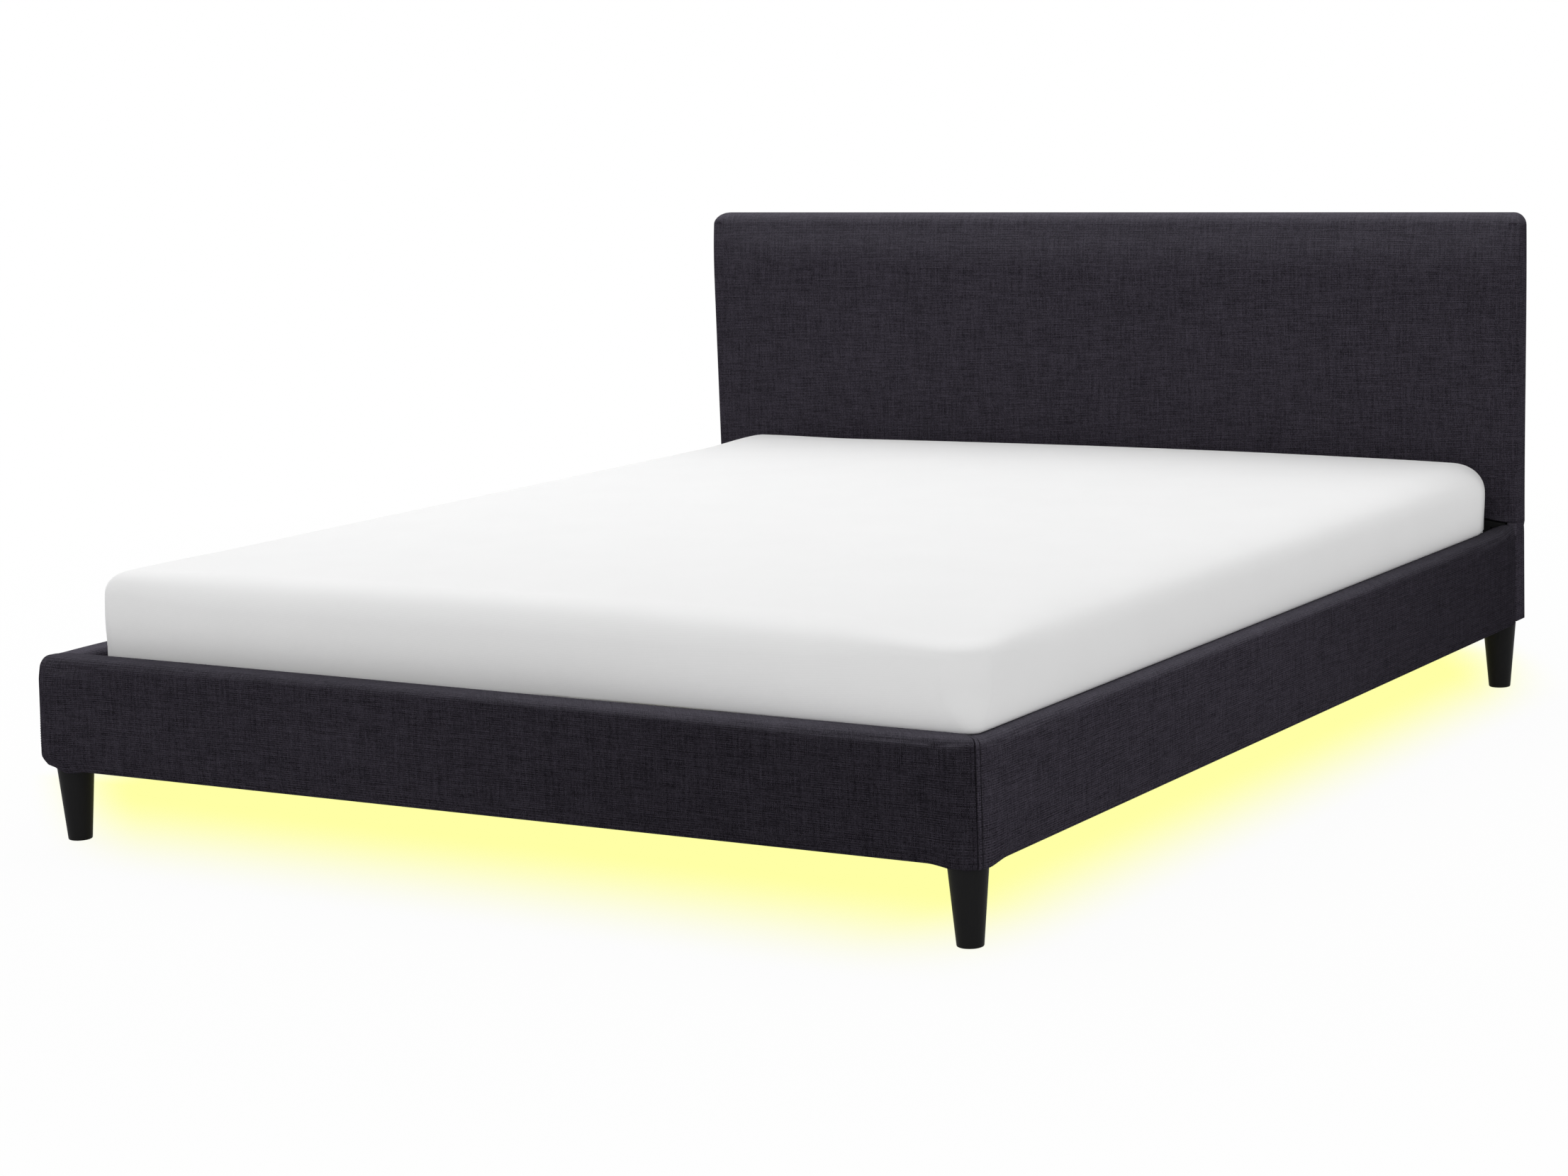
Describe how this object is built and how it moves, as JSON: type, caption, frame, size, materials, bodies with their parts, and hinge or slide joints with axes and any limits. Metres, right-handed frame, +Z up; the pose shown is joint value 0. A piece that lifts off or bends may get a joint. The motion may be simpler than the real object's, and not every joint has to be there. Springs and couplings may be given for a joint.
{
  "type": "upholstered bed",
  "caption": "Upholstered double bed with a low padded headboard, padded rails, tapered legs, a sprung slat base, light strips under the rails and a lift-off mattress.",
  "frame": {"origin": "on the floor under the middle of the bed's outline", "axes": "+Z up, +Y towards the headboard, +X towards the sleeper's left side when lying on the back, which is the side nearest the camera in the picture"},
  "size_m": [1.76, 2.13, 0.89],
  "materials": {
    "upholstery": "matte",
    "lining": "matte",
    "board": "matte",
    "leg": "satin",
    "zinc": "satin",
    "bracket": "satin",
    "beam": "satin",
    "ledge": "matte",
    "slat": "satin",
    "light": "satin",
    "housing": "satin",
    "mattress": "matte"
  },
  "bodies": {
    "frame": {"beam_leg_front": "beam", "beam_leg_rear": "beam", "beam_shoe_foot": "bracket", "beam_shoe_head": "bracket", "centre_beam": "beam", "corner_bracket_left": "bracket", "corner_bracket_right": "bracket", "foot_rail_board": "board", "foot_rail_cover": "upholstery", "headboard_back_lining": "lining", "headboard_board": "board", "headboard_bracket_left": "bracket", "headboard_bracket_right": "bracket", "headboard_cover": "upholstery", "headboard_lower_panel": "lining", "led_controller": "housing", "led_strip_foot": "light", "led_strip_left": "light", "led_strip_right": "light", "leg_fixing_front_left": "zinc", "leg_fixing_front_right": "zinc", "leg_fixing_rear_left": "zinc", "leg_fixing_rear_right": "zinc", "leg_front_left": "leg", "leg_front_right": "leg", "leg_rear_left": "leg", "leg_rear_right": "leg", "side_rail_board_left": "board", "side_rail_board_right": "board", "side_rail_cover_left": "upholstery", "side_rail_cover_right": "upholstery", "slat_ledge_left": "ledge", "slat_ledge_right": "ledge", "slat_left_01": "slat", "slat_left_02": "slat", "slat_left_03": "slat", "slat_left_04": "slat", "slat_left_05": "slat", "slat_left_06": "slat", "slat_left_07": "slat", "slat_left_08": "slat", "slat_left_09": "slat", "slat_left_10": "slat", "slat_left_11": "slat", "slat_left_12": "slat", "slat_left_13": "slat", "slat_right_01": "slat", "slat_right_02": "slat", "slat_right_03": "slat", "slat_right_04": "slat", "slat_right_05": "slat", "slat_right_06": "slat", "slat_right_07": "slat", "slat_right_08": "slat", "slat_right_09": "slat", "slat_right_10": "slat", "slat_right_11": "slat", "slat_right_12": "slat", "slat_right_13": "slat"},
    "mattress": {"mattress": "mattress"}
  },
  "joints": [
    {"name": "mattress_lift", "type": "slide", "parent": "frame", "child": "mattress", "axis": [0, 0, 1], "range_m": [0, 0.35]}
  ]
}
